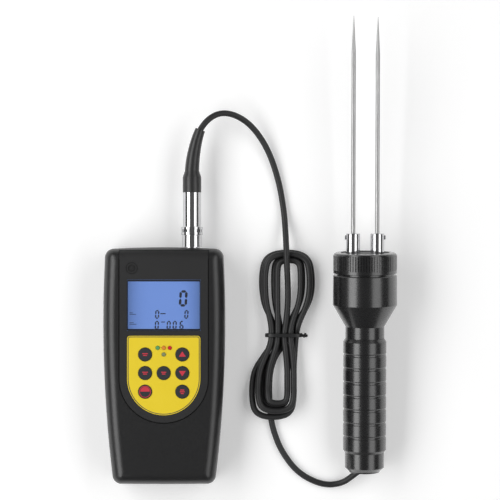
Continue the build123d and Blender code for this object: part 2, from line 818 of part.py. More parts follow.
with BuildPart() as stem_nuts:
    for side in (-1, 1):
        with BuildSketch(probe_face(69.0, side * pin_spread)):
            RegularPolygon(radius=4.0, side_count=6, major_radius=False)
            Circle(2.55, mode=Mode.SUBTRACT)
        extrude(amount=4.0)
save(stem_nuts, "stem_nuts")

with BuildPart() as handle_wires:
    for side in (-1, 1):
        route = [
            (side * pin_spread, 65.4), (side * pin_spread, 58.0), (side * 1.8, 44.0), (side * 1.8, -62.0)
        ]
        with BuildLine() as wire_line:
            FilletPolyline(*[probe_side.from_local_coords((x, y, 0)) for x, y in route], radius=6.0)
        with BuildSketch(Plane(origin=wire_line.line @ 0, z_dir=wire_line.line % 0)):
            Circle(0.9)
        sweep(path=wire_line.line)
save(handle_wires, "handle_wires")

# Grip: a sleeve with shallow rounds cut between its bands
grip_outer = [(neck_radius, 18.7), (grip_radius, 16.4)]
for index in range(grip_grooves):
    middle = grip_groove_first - index * grip_groove_pitch
    half = grip_groove_width / 2
    grip_outer += [
        (grip_radius, middle + half),
        (grip_radius - grip_groove_depth, middle + half / 2),
        (grip_radius - grip_groove_depth, middle - half / 2),
        (grip_radius, middle - half),
    ]
grip_outer += [(grip_radius, grip_end_station), (tail_radius, -60.3)]
with BuildPart() as grip_sleeve:
    with BuildSketch(probe_side):
        Polygon((11.1, 18.7), *grip_outer, (11.1, -60.3), align=None)
    revolve(axis=probe_axis)
save(grip_sleeve, "grip_sleeve")

lead_end = Vector(*lower_route[-1])
lead_heading = (lead_end - Vector(*lower_route[-2])).normalized()
with BuildPart() as tail_cap:
    with BuildSketch(probe_side):
        Polygon(
            (9.1, -60.4), (tail_radius, -60.4), (tail_radius, -70.8), (10.9, -73.2), (10.4, tail_end),
            (0, tail_end), (0, -67.0), (9.1, -67.0), align=None,
        )
    revolve(axis=probe_axis)
    with BuildSketch(Plane(origin=lead_end + lead_heading * 0.3, z_dir=lead_heading * -1)):
        Circle(lead_diameter / 2 + 0.2)
    extrude(amount=30, mode=Mode.SUBTRACT)
save(tail_cap, "tail_cap")
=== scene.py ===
import json
import math

import bmesh
import bpy
from mathutils import Matrix, Vector


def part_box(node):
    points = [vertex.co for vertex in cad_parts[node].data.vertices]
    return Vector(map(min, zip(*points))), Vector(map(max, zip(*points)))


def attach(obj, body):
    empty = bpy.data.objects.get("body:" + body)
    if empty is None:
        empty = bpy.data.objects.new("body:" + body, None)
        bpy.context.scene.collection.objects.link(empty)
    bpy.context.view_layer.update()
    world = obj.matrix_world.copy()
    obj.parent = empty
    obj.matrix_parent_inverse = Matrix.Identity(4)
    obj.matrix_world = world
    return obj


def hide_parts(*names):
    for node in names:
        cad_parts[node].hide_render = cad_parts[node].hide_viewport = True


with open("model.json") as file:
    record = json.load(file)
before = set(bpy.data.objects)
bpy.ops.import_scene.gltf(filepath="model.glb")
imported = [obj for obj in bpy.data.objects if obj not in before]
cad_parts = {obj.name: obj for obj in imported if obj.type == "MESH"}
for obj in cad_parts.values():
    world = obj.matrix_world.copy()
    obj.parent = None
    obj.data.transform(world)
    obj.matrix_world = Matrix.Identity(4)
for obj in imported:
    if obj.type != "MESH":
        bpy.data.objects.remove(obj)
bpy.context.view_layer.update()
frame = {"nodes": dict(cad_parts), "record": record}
nodes = frame["nodes"]
scene = bpy.context.scene
scene.view_settings.view_transform = "Standard"

white = (1, 1, 1, 1)

# Camera, straight above the set
cameraSettings = {"place": (0.0589, 0.0793, 1.6), "lens": 165.3, "sensorWidth": 36.0}


def addCamera(settings):
    data = bpy.data.cameras.new("overheadCamera")
    data.type = "PERSP"
    data.lens = settings["lens"]
    data.sensor_width = settings["sensorWidth"]
    camera = bpy.data.objects.new("overheadCamera", data)
    camera.location = settings["place"]
    scene.collection.objects.link(camera)
    scene.camera = camera


addCamera(cameraSettings)
print("camera placed")

# Softboxes, floor and room
lightSettings = {
    "distance": 1.2,
    "leftAngle": -44.5,
    "rightAngle": 42.0,
    "width": 0.66,
    "length": 2.4,
    "leftPower": 17.0,
    "rightPower": 9.5,
    "aim": (0.0589, 0.0793, 0.0),
    "room": 0.12,
}
floorSettings = {
    "reach": 3.0, "colour": (0.84, 0.84, 0.84, 1.0), "lift": 0.24, "roughness": 0.9, "shine": 0.1,
}


def addSoftbox(name, angle, power, settings):
    data = bpy.data.lights.new(name, "AREA")
    data.shape = "RECTANGLE"
    data.size = settings["width"]
    data.size_y = settings["length"]
    data.energy = power
    lamp = bpy.data.objects.new(name, data)
    turn = math.radians(angle)
    aim = Vector(settings["aim"])
    lamp.location = aim + Vector((math.sin(turn), 0, math.cos(turn))) * settings["distance"]
    lamp.rotation_euler = (0, turn, 0)
    scene.collection.objects.link(lamp)


def addRoom(settings):
    world = bpy.data.worlds.new("room")
    scene.world = world
    world.use_nodes = True
    tree = world.node_tree
    background = tree.nodes["Background"]
    seen = tree.nodes.new("ShaderNodeLightPath")
    strength = tree.nodes.new("ShaderNodeMath")
    strength.operation = "MAXIMUM"
    strength.inputs[1].default_value = settings["room"]
    tree.links.new(seen.outputs["Is Camera Ray"], strength.inputs[0])
    tree.links.new(strength.outputs[0], background.inputs["Strength"])
    background.inputs["Color"].default_value = white


def addFloor(settings):
    shape = bmesh.new()
    bmesh.ops.create_grid(shape, x_segments=1, y_segments=1, size=settings["reach"])
    mesh = bpy.data.meshes.new("floor")
    shape.to_mesh(mesh)
    shape.free()
    floor = bpy.data.objects.new("floor", mesh)
    scene.collection.objects.link(floor)
    material = bpy.data.materials.new("palePaper")
    material.use_nodes = True
    tree = material.node_tree
    shader = tree.nodes["Principled BSDF"]
    shader.inputs["Base Color"].default_value = settings["colour"]
    shader.inputs["Roughness"].default_value = settings["roughness"]
    shader.inputs["Specular IOR Level"].default_value = settings["shine"]
    shader.inputs["Emission Color"].default_value = white
    # the lift shows to the camera and in gloss and glass, and lights nothing
    ray = tree.nodes.new("ShaderNodeLightPath")
    cameraOrGloss = tree.nodes.new("ShaderNodeMath")
    anySeen = tree.nodes.new("ShaderNodeMath")
    lift = tree.nodes.new("ShaderNodeMath")
    anySeen.use_clamp = True
    lift.operation = "MULTIPLY"
    lift.inputs[1].default_value = settings["lift"]
    tree.links.new(ray.outputs["Is Camera Ray"], cameraOrGloss.inputs[0])
    tree.links.new(ray.outputs["Is Glossy Ray"], cameraOrGloss.inputs[1])
    tree.links.new(cameraOrGloss.outputs[0], anySeen.inputs[0])
    tree.links.new(ray.outputs["Is Transmission Ray"], anySeen.inputs[1])
    tree.links.new(anySeen.outputs[0], lift.inputs[0])
    tree.links.new(lift.outputs[0], shader.inputs["Emission Strength"])
    mesh.materials.append(material)


addSoftbox("leftSoftbox", lightSettings["leftAngle"], lightSettings["leftPower"], lightSettings)
addSoftbox("rightSoftbox", lightSettings["rightAngle"], lightSettings["rightPower"], lightSettings)
addRoom(lightSettings)
addFloor(floorSettings)
print("lights and floor placed")


# Shared surface effects
def newGroup(name, inputs, outputs):
    group = bpy.data.node_groups.new(name, "ShaderNodeTree")
    for label, kind in inputs:
        group.interface.new_socket(name=label, in_out="INPUT", socket_type=kind)
    for label, kind in outputs:
        group.interface.new_socket(name=label, in_out="OUTPUT", socket_type=kind)
    return group, group.nodes.new("NodeGroupInput"), group.nodes.new("NodeGroupOutput")


def colourSockets(sockets):
    # a mix node's colour sockets share their names with its float ones
    return [socket for socket in sockets if socket.type == "RGBA"]


grainRange = (0.3, 0.7)


def makeGrainGroup():
    floatKind, colourKind, vectorKind = "NodeSocketFloat", "NodeSocketColor", "NodeSocketVector"
    group, inside, outside = newGroup(
        "mouldedGrain",
        (
            ("Main Color", colourKind), ("Second Color", colourKind), ("Stretch", vectorKind),
            ("Patch Scale", floatKind), ("Grain Scale", floatKind),
            ("Rough Low", floatKind), ("Rough High", floatKind),
        ),
        (("Color", colourKind), ("Roughness", floatKind), ("Height", floatKind)),
    )
    add, link = group.nodes.new, group.links.new
    place = add("ShaderNodeTexCoord")
    stretch = add("ShaderNodeVectorMath")
    stretch.operation = "MULTIPLY"
    link(place.outputs["Object"], stretch.inputs[0])
    link(inside.outputs["Stretch"], stretch.inputs[1])
    patches = add("ShaderNodeTexNoise")
    patches.inputs["Detail"].default_value = 3.0
    link(place.outputs["Object"], patches.inputs["Vector"])
    link(inside.outputs["Patch Scale"], patches.inputs["Scale"])
    grain = add("ShaderNodeTexNoise")
    grain.inputs["Detail"].default_value = 2.0
    link(stretch.outputs["Vector"], grain.inputs["Vector"])
    link(inside.outputs["Grain Scale"], grain.inputs["Scale"])
    blend = add("ShaderNodeMix")
    blend.data_type = "RGBA"
    link(patches.outputs["Fac"], blend.inputs["Factor"])
    mainSocket, secondSocket = colourSockets(blend.inputs)
    link(inside.outputs["Main Color"], mainSocket)
    link(inside.outputs["Second Color"], secondSocket)
    spread = add("ShaderNodeMapRange")
    spread.inputs["From Min"].default_value = grainRange[0]
    spread.inputs["From Max"].default_value = grainRange[1]
    link(grain.outputs["Fac"], spread.inputs["Value"])
    link(inside.outputs["Rough Low"], spread.inputs["To Min"])
    link(inside.outputs["Rough High"], spread.inputs["To Max"])
    link(colourSockets(blend.outputs)[0], outside.inputs["Color"])
    link(spread.outputs["Result"], outside.inputs["Roughness"])
    link(grain.outputs["Fac"], outside.inputs["Height"])
    return group


grainGroup = makeGrainGroup()

# Each finish: two colours, patch and grain scales, roughness range, bump, then what only some have
finishes = {
    "case_plastic": {
        "colours": ((0.0060, 0.0060, 0.0065), (0.0090, 0.0090, 0.0095)), "patch": 25, "grain": 1500,
        "rough": (0.32, 0.44), "bump": 0.22, "coat": 0.35, "coatRough": 0.3,
    },
    "panel_plastic": {
        "colours": ((0.0090, 0.0090, 0.0095), (0.0130, 0.0130, 0.0135)), "patch": 25, "grain": 1500,
        "rough": (0.44, 0.58), "bump": 0.22,
    },
    "label_film": {
        "colours": ((0.80, 0.60, 0.018), (0.84, 0.64, 0.03)), "patch": 60, "grain": 1200,
        "rough": (0.35, 0.45), "bump": 0.05,
    },
    "key_rubber": {
        "colours": ((0.012, 0.016, 0.021), (0.017, 0.021, 0.026)), "patch": 300, "grain": 2500,
        "rough": (0.5, 0.65), "bump": 0.1,
    },
    "bezel_plastic": {
        "colours": ((0.004, 0.0045, 0.006), (0.006, 0.0065, 0.009)), "patch": 80, "grain": 1500,
        "rough": (0.35, 0.5), "bump": 0.1,
    },
    "green_lens": {
        "colours": ((0.09, 0.33, 0.11), (0.12, 0.38, 0.14)), "patch": 500, "grain": 900,
        "rough": (0.15, 0.3), "bump": 0.05, "coat": 0.5,
    },
    "amber_lens": {
        "colours": ((0.70, 0.22, 0.03), (0.74, 0.27, 0.05)), "patch": 500, "grain": 900,
        "rough": (0.15, 0.3), "bump": 0.05, "coat": 0.5,
    },
    "red_lens": {
        "colours": ((0.56, 0.01, 0.03), (0.62, 0.02, 0.04)), "patch": 500, "grain": 900,
        "rough": (0.15, 0.3), "bump": 0.05, "coat": 0.5,
    },
    "grey_lens": {
        "colours": ((0.21, 0.25, 0.11), (0.26, 0.29, 0.15)), "patch": 500, "grain": 900,
        "rough": (0.2, 0.35), "bump": 0.05, "coat": 0.3,
    },
    "board": {
        "colours": ((0.015, 0.14, 0.05), (0.02, 0.18, 0.07)), "patch": 200, "grain": 2500,
        "rough": (0.3, 0.45), "bump": 0.1,
    },
    "components": {
        "colours": ((0.025, 0.025, 0.026), (0.04, 0.04, 0.04)), "patch": 300, "grain": 2500,
        "rough": (0.5, 0.65), "bump": 0.1,
    },
    "silicone": {
        "colours": ((0.33, 0.34, 0.34), (0.38, 0.39, 0.39)), "patch": 120, "grain": 2000,
        "rough": (0.55, 0.7), "bump": 0.1,
    },
    "cell_jacket": {
        "colours": ((0.09, 0.11, 0.13), (0.12, 0.14, 0.16)), "patch": 60, "grain": 1500,
        "rough": (0.3, 0.4), "bump": 0.05,
    },
    "spring_steel": {
        "colours": ((0.56, 0.56, 0.56), (0.62, 0.62, 0.62)), "patch": 300, "grain": 1500,
        "rough": (0.25, 0.4), "bump": 0.1, "metal": 1.0,
    },
    "screw_steel": {
        "colours": ((0.35, 0.35, 0.36), (0.45, 0.45, 0.46)), "patch": 400, "grain": 2000,
        "rough": (0.3, 0.45), "bump": 0.1, "metal": 1.0,
    },
    "chrome": {
        "colours": ((0.60, 0.60, 0.61), (0.68, 0.68, 0.69)), "patch": 60, "grain": 900,
        "rough": (0.06, 0.12), "bump": 0.03, "metal": 1.0,
    },
    "pin_steel": {
        "colours": ((0.40, 0.40, 0.40), (0.50, 0.50, 0.50)), "patch": 90, "grain": 1500,
        "rough": (0.28, 0.42), "bump": 0.1, "metal": 1.0, "stretch": (1, 0.04, 1),
    },
    "brass": {
        "colours": ((0.70, 0.52, 0.22), (0.78, 0.58, 0.27)), "patch": 100, "grain": 1500,
        "rough": (0.25, 0.4), "bump": 0.05, "metal": 1.0,
    },
    "insulator": {
        "colours": ((0.05, 0.05, 0.05), (0.07, 0.07, 0.07)), "patch": 150, "grain": 2000,
        "rough": (0.45, 0.6), "bump": 0.1,
    },
    "boot_rubber": {
        "colours": ((0.010, 0.010, 0.0105), (0.015, 0.015, 0.0155)), "patch": 90, "grain": 1600,
        "rough": (0.36, 0.48), "bump": 0.15, "coat": 0.3, "coatRough": 0.3,
    },
    "lead_jacket": {
        "colours": ((0.010, 0.010, 0.0105), (0.015, 0.015, 0.0155)), "patch": 70, "grain": 1400,
        "rough": (0.42, 0.56), "bump": 0.1,
    },
    "tie_plastic": {
        "colours": ((0.006, 0.006, 0.0065), (0.010, 0.010, 0.0105)), "patch": 200, "grain": 1500,
        "rough": (0.35, 0.5), "bump": 0.1,
    },
    "handle_plastic": {
        "colours": ((0.0060, 0.0060, 0.0065), (0.0085, 0.0085, 0.009)), "patch": 40, "grain": 1500,
        "rough": (0.22, 0.32), "bump": 0.12, "coat": 0.9, "coatRough": 0.22,
    },
    "copper_wire": {
        "colours": ((0.33, 0.03, 0.03), (0.38, 0.04, 0.04)), "patch": 200, "grain": 1500,
        "rough": (0.4, 0.55), "bump": 0.05,
    },
    # painted shade: near-black colour for the rings that stand for the shade in the sounder port's
    # grooves
    "groove_shade": {
        "colours": ((0.0015, 0.0015, 0.0016), (0.0025, 0.0025, 0.0026)), "patch": 200, "grain": 1500,
        "rough": (0.7, 0.85), "bump": 0.05,
    },
    "legend_red": {
        "colours": ((0.55, 0.022, 0.045), (0.60, 0.035, 0.06)), "patch": 300, "grain": 2500,
        "rough": (0.45, 0.6), "bump": 0.05,
    },
    "navy_ink": {
        "colours": ((0.02, 0.025, 0.045), (0.03, 0.035, 0.055)), "patch": 200, "grain": 2500,
        "rough": (0.4, 0.5), "bump": 0.02,
    },
    "screen_ink": {
        "colours": ((0.020, 0.023, 0.034), (0.026, 0.029, 0.040)), "patch": 200, "grain": 2500,
        "rough": (0.5, 0.6), "bump": 0.02,
    },
}
bumpDistance = 0.0001


def makeFinish(name, finish):
    material = bpy.data.materials.new(name)
    material.use_nodes = True
    tree = material.node_tree
    shader = tree.nodes["Principled BSDF"]
    grain = tree.nodes.new("ShaderNodeGroup")
    grain.node_tree = grainGroup
    main, second = finish["colours"]
    grain.inputs["Main Color"].default_value = (*main, 1)
    grain.inputs["Second Color"].default_value = (*second, 1)
    grain.inputs["Stretch"].default_value = finish.get("stretch", (1, 1, 1))
    grain.inputs["Patch Scale"].default_value = finish["patch"]
    grain.inputs["Grain Scale"].default_value = finish["grain"]
    grain.inputs["Rough Low"].default_value = finish["rough"][0]
    grain.inputs["Rough High"].default_value = finish["rough"][1]
    bump = tree.nodes.new("ShaderNodeBump")
    bump.inputs["Strength"].default_value = finish["bump"]
    bump.inputs["Distance"].default_value = bumpDistance
    tree.links.new(grain.outputs["Color"], shader.inputs["Base Color"])
    tree.links.new(grain.outputs["Roughness"], shader.inputs["Roughness"])
    tree.links.new(grain.outputs["Height"], bump.inputs["Height"])
    tree.links.new(bump.outputs["Normal"], shader.inputs["Normal"])
    shader.inputs["Metallic"].default_value = finish.get("metal", 0.0)
    shader.inputs["Coat Weight"].default_value = finish.get("coat", 0.0)
    shader.inputs["Coat Roughness"].default_value = finish.get("coatRough", 0.1)
    return material


materials = {name: makeFinish(name, finish) for name, finish in finishes.items()}

# Lit display: even blue, a little darker towards its left and right ends
displaySettings = {
    "middle": (0.170, 0.295, 0.690, 1), "ends": (0.087, 0.156, 0.366, 1), "halfWidth": 0.0247,
    "fade": 4.0, "glow": 0.92, "unlit": (0.02, 0.03, 0.06, 1), "roughness": 0.3,
}
windowSettings = {"tint": (0.97, 0.98, 1.0, 1), "roughness": 0.03, "ior": 1.3}


def makeDisplay(settings):
    material = bpy.data.materials.new("screen")
    material.use_nodes = True
    tree = material.node_tree
    add, link = tree.nodes.new, tree.links.new
    shader = tree.nodes["Principled BSDF"]
    place = add("ShaderNodeTexCoord")
    split = add("ShaderNodeSeparateXYZ")
    size = add("ShaderNodeMath")
    size.operation = "ABSOLUTE"
    share = add("ShaderNodeMath")
    share.operation = "DIVIDE"
    share.inputs[1].default_value = settings["halfWidth"]
    fade = add("ShaderNodeMath")
    fade.operation = "POWER"
    fade.inputs[1].default_value = settings["fade"]
    fade.use_clamp = True
    mix = add("ShaderNodeMix")
    mix.data_type = "RGBA"
    middleSocket, endsSocket = colourSockets(mix.inputs)
    middleSocket.default_value = settings["middle"]
    endsSocket.default_value = settings["ends"]
    link(place.outputs["Object"], split.inputs[0])
    link(split.outputs["X"], size.inputs[0])
    link(size.outputs[0], share.inputs[0])
    link(share.outputs[0], fade.inputs[0])
    link(fade.outputs[0], mix.inputs["Factor"])
    link(colourSockets(mix.outputs)[0], shader.inputs["Emission Color"])
    shader.inputs["Base Color"].default_value = settings["unlit"]
    shader.inputs["Emission Strength"].default_value = settings["glow"]
    shader.inputs["Roughness"].default_value = settings["roughness"]
    return material


def makeWindow(settings):
    material = bpy.data.materials.new("clear_window")
    material.use_nodes = True
    shader = material.node_tree.nodes["Principled BSDF"]
    shader.inputs["Base Color"].default_value = settings["tint"]
    shader.inputs["Roughness"].default_value = settings["roughness"]
    shader.inputs["Transmission Weight"].default_value = 1.0
    shader.inputs["IOR"].default_value = settings["ior"]
    return material


materials["screen"] = makeDisplay(displaySettings)
materials["clear_window"] = makeWindow(windowSettings)

for part in frame["record"]["subparts"]:
    node = nodes[part["node"]]
    for index in range(max(1, len(node.material_slots))):
        if index >= len(node.material_slots):
            node.data.materials.append(None)
        node.material_slots[index].material = materials[part["material_slot"]]
print("finishes made")

# The lead: one length from the boot, over and down through the hank, round it, and on to the handle
leadSettings = {"diameter": 0.0042, "length": 1.37, "sides": 6, "steps": 8}
upperRoute = (
    (0.0246, 0.1623, 0.0154), (0.0289, 0.1698, 0.0150), (0.0416, 0.1754, 0.0128),
    (0.0576, 0.1686, 0.0086), (0.0706, 0.1516, 0.0046), (0.0789, 0.1282, 0.0023),
    (0.0826, 0.1060, 0.0023), (0.0835, 0.0930, 0.0058), (0.0840, 0.0820, 0.0108),
    (0.0845, 0.0670, 0.0108), (0.0852, 0.0550, 0.0066), (0.0853, 0.0430, 0.0052),
    (0.0842, 0.0310, 0.0072),
)
lowerRoute = (
    (0.0842, 0.0200, 0.0034), (0.0822, 0.0130, 0.0025), (0.0765, 0.0060, 0.00215),
    (0.0728, -0.0050, 0.00215), (0.0722, -0.0170, 0.00215), (0.0726, -0.0280, 0.00215),
    (0.0734, -0.0376, 0.00215), (0.0752, -0.0464, 0.00215), (0.0806, -0.0606, 0.00215),
    (0.0924, -0.0762, 0.00215), (0.1094, -0.0844, 0.00215), (0.1226, -0.0832, 0.0032),
    (0.1308, -0.0769, 0.0074), (0.1372, -0.0714, 0.0106),
)
waistHeights = {"low": 0.0034, "high": 0.0076}
sideHeights = {"low": 0.0023, "high": 0.0064}
bottomHeights = {"low": 0.0062, "high": 0.0104}
waistY = 0.020
# control points round the end of a loop: share of its half width, and how far back in widths
loopEnd = ((1, 0.42), (0.88, 0.13), (0.42, 0), (-0.42, 0), (-0.88, 0.13), (-1, 0.42))
hankTurns = (
    {"right": 0.0824, "lowRight": 0.0848, "bottom": -0.0268, "lowLeft": 0.0712, "left": 0.0782,
     "highLeft": 0.0779, "top": 0.0722, "highRight": 0.0941, "layer": "high"},
    {"right": 0.0866, "lowRight": 0.0893, "bottom": -0.0322, "lowLeft": 0.0645, "left": 0.0740,
     "highLeft": 0.0694, "top": 0.0764, "highRight": 0.1003, "layer": "high"},
    {"right": 0.0908, "lowRight": 0.0893, "bottom": -0.0366, "lowLeft": 0.0603, "left": 0.0758,
     "highLeft": 0.0672, "top": 0.0775, "highRight": 0.1020, "layer": "low"},
    {"right": 0.0886, "lowRight": 0.0848, "bottom": -0.0290, "lowLeft": 0.0676, "left": 0.0800,
     "highLeft": 0.0756, "top": 0.0736, "highRight": 0.0953, "layer": "low"},
)


def between(start, end, share):
    return start + (end - start) * share


def bendPoints(nearX, farX, peakY, side, height):
    width = abs(farX - nearX)
    middle = (nearX + farX) / 2
    reach = (farX - nearX) / 2
    return [(middle - across * reach, peakY + side * back * width, height) for across, back in loopEnd]


def turnPoints(turn, nextRight):
    layer = turn["layer"]
    waist, side, bottom = waistHeights[layer], sideHeights[layer], bottomHeights[layer]
    right, lowRight, lowLeft = turn["right"], turn["lowRight"], turn["lowLeft"]
    left, highLeft, highRight = turn["left"], turn["highLeft"], turn["highRight"]
    points = [
        (right, waistY, waist), (between(right, lowRight, 0.55), 0.009, between(waist, side, 0.6)),
        (lowRight, -0.003, side), (lowRight, -0.014, between(side, bottom, 0.15)),
    ]
    points += bendPoints(lowRight, lowLeft, turn["bottom"], 1, bottom)
    points += [
        (lowLeft, -0.014, between(side, bottom, 0.15)), (between(lowLeft, left, 0.12), -0.004, side),
        (between(lowLeft, left, 0.55), 0.006, side), (between(lowLeft, left, 0.92), 0.014, waist),
        (left, 0.022, waist), (between(left, highLeft, 0.2), 0.031, between(waist, side, 0.5)),
        (between(left, highLeft, 0.8), 0.041, side), (highLeft, 0.052, side),
    ]
    points += bendPoints(highLeft, highRight, turn["top"], -1, side)
    points += [
        (highRight, 0.050, side), (between(highRight, nextRight, 0.25), 0.040, side),
        (between(highRight, nextRight, 0.8), 0.029, between(side, waist, 0.6)),
    ]
    return points


def leadPoints():
    points = list(upperRoute)
    for turn, following in zip(hankTurns, (*hankTurns[1:], {"right": lowerRoute[0][0]})):
        points += turnPoints(turn, following["right"])
    return points + list(lowerRoute)


def addLead(settings):
    curve = bpy.data.curves.new("lead", "CURVE")
    curve.dimensions = "3D"
    curve.resolution_u = settings["steps"]
    curve.bevel_depth = settings["diameter"] / 2
    curve.bevel_resolution = settings["sides"]
    curve.use_fill_caps = True
    points = leadPoints()
    spline = curve.splines.new("NURBS")
    spline.points.add(len(points) - 1)
    for control, place in zip(spline.points, points):
        control.co = (*place, 1)
    spline.order_u = 3
    spline.use_endpoint_u = True
    lead = bpy.data.objects.new("lead", curve)
    scene.collection.objects.link(lead)
    curve.materials.append(materials["lead_jacket"])
    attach(lead, "probe_and_lead")
    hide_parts("lead_upper", "lead_hank", "lead_lower")
    return lead


lead = addLead(leadSettings)
print("lead laid")


def newPiece(name, shape, material, body):
    mesh = bpy.data.meshes.new(name)
    shape.to_mesh(mesh)
    shape.free()
    piece = bpy.data.objects.new(name, mesh)
    scene.collection.objects.link(piece)
    mesh.materials.append(materials[material])
    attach(piece, body)
    return piece


def raiseOutlines(outlines, low, high):
    shape = bmesh.new()
    for outline in outlines:
        face = shape.faces.new([shape.verts.new((x, y, low)) for x, y in outline])
        face.normal_update()
        if face.normal.z < 0:
            face.normal_flip()
        made = bmesh.ops.extrude_face_region(shape, geom=[face], use_keep_orig=True)
        face.normal_flip()
        lifted = [g for g in made["geom"] if isinstance(g, bmesh.types.BMVert)]
        bmesh.ops.translate(shape, verts=lifted, vec=(0, 0, high - low))
    return shape


# Digits and marks on the display
digitSettings = {"low": 0.03122, "high": 0.03130, "slant": 0.06, "thin": 0.15}
segmentPlaces = {
    "top": (0, 1, 1, 1), "upperLeft": (0, 1, 0, 0.5), "upperRight": (1, 1, 1, 0.5),
    "middle": (0, 0.5, 1, 0.5), "lowerLeft": (0, 0.5, 0, 0), "lowerRight": (1, 0.5, 1, 0),
    "bottom": (0, 0, 1, 0),
}
zero = ("top", "upperLeft", "upperRight", "lowerLeft", "lowerRight", "bottom")
six = ("top", "upperLeft", "middle", "lowerLeft", "lowerRight", "bottom")
displayDigits = (
    (zero, 0.0102, 0.0406, 0.0056, 0.0112), (zero, -0.0061, 0.0323, 0.0028, 0.0060),
    (zero, 0.0139, 0.0323, 0.0028, 0.0060), (zero, -0.0063, 0.0249, 0.0028, 0.0060),
    (zero, 0.0018, 0.0249, 0.0028, 0.0060), (zero, 0.0059, 0.0249, 0.0028, 0.0060),
    (six, 0.0106, 0.0249, 0.0028, 0.0060),
)
displayBars = (
    (-0.0023, 0.0355, 0.0012, 0.0362), (-0.0018, 0.0298, 0.0009, 0.0304),
    (-0.0235, 0.0362, -0.0213, 0.0366), (-0.0235, 0.0352, -0.0190, 0.0356),
    (-0.0235, 0.0294, -0.0205, 0.0298), (-0.0235, 0.0284, -0.0187, 0.0288),
)


def segmentOutline(places, x, y, width, height, settings):
    thick = height * settings["thin"] / 2
    startX, startY, endX, endY = places
    x, y, width, height = x + thick, y + thick, width - 2 * thick, height - 2 * thick
    start = Vector((x + startX * width + startY * height * settings["slant"], y + startY * height))
    end = Vector((x + endX * width + endY * height * settings["slant"], y + endY * height))
    along = (end - start).normalized() * thick
    across = Vector((-along.y, along.x))
    start, end = start + along * 0.25, end - along * 0.25
    return [
        start, start + along + across, end - along + across,
        end, end - along - across, start + along - across,
    ]


def addDigits(settings):
    outlines = [
        segmentOutline(segmentPlaces[name], x, y, width, height, settings)
        for names, x, y, width, height in displayDigits for name in names
    ]
    outlines += [((a, b), (c, b), (c, d), (a, d)) for a, b, c, d in displayBars]
    shape = raiseOutlines(outlines, settings["low"], settings["high"])
    newPiece("displayMarks", shape, "screen_ink", "meter")


addDigits(digitSettings)

# Red marks on the keys: an arrow up or down, bars of these lengths, or a half disc in a ring
legendSettings = {
    "sunk": 0.00001, "rise": 0.00005, "arrow": 0.0024, "arrowBase": 0.62, "arrowTip": 0.9,
    "barWidth": 0.0034, "barHeight": 0.0007, "gap": 0.0005,
    "disc": 0.0032, "discLift": 0.0001, "discSteps": 24, "ring": (0.0036, 0.0040), "ringSteps": 40,
}
keyMarks = {
    "left_top": (1.15, 0.8), "right_top": "up", "left_middle": (1.15, 0.8), "centre": (1.0, 0.7),
    "right_middle": "down", "left_bottom": "power", "right_bottom": (0.8, 1.0, 0.6),
}


def arrowOutline(x, y, way, settings):
    size = settings["arrow"]
    base, tip = y - way * size * settings["arrowBase"], y + way * size * settings["arrowTip"]
    return [(x - size, base), (x + size, base), (x, tip)]


def barOutlines(x, y, settings, rows):
    outlines = []
    step = settings["barHeight"] + settings["gap"]
    for row, share in enumerate(rows):
        half = settings["barWidth"] * share / 2
        middle = y + step * ((len(rows) - 1) / 2 - row)
        low, high = middle - settings["barHeight"] / 2, middle + settings["barHeight"] / 2
        outlines.append([(x - half, low), (x + half, low), (x + half, high), (x - half, high)])
    return outlines


def arcPoints(x, y, radius, start, end, steps):
    angles = [between(start, end, step / steps) for step in range(steps + 1)]
    return [(x + radius * math.cos(angle), y + radius * math.sin(angle)) for angle in angles]


def ringOutlines(x, y, radii, steps):
    inner, outer = (arcPoints(x, y, radius, 0, math.tau, steps) for radius in radii)
    return [
        (outer[step], outer[step + 1], inner[step + 1], inner[step]) for step in range(steps)
    ]


def markOutlines(mark, x, y, settings):
    if mark in ("up", "down"):
        return [arrowOutline(x, y, 1 if mark == "up" else -1, settings)]
    if mark == "power":
        lifted = y + settings["discLift"]
        disc = arcPoints(x, lifted, settings["disc"], 0, math.pi, settings["discSteps"])
        return [disc, *ringOutlines(x, y, settings["ring"], settings["ringSteps"])]
    return barOutlines(x, y, settings, mark)


def addLegends(settings):
    for key, mark in keyMarks.items():
        low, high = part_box("key_" + key)
        outlines = markOutlines(mark, (low.x + high.x) / 2, (low.y + high.y) / 2, settings)
        shape = raiseOutlines(outlines, high.z - settings["sunk"], high.z + settings["rise"])
        newPiece("legend_" + key, shape, "legend_red", "key_" + key)


addLegends(legendSettings)
print("display marks and key marks made")

# Thin dark line printed round the keypad film
borderSettings = {"inset": 0.0005, "width": 0.0005, "rise": 0.00004, "topBand": 0.00001}


def outerLoop(shape):
    left = {edge for edge in shape.edges if edge.is_boundary}
    loops = []
    while left:
        edge = left.pop()
        loop = list(edge.verts)
        following = [edge for edge in loop[-1].link_edges if edge in left]
        while following:
            left.remove(following[0])
            loop.append(following[0].other_vert(loop[-1]))
            following = [edge for edge in loop[-1].link_edges if edge in left]
        loops.append([vert.co.copy() for vert in loop[:-1]])
    return max(loops, key=lambda loop: max(p.x for p in loop) - min(p.x for p in loop))


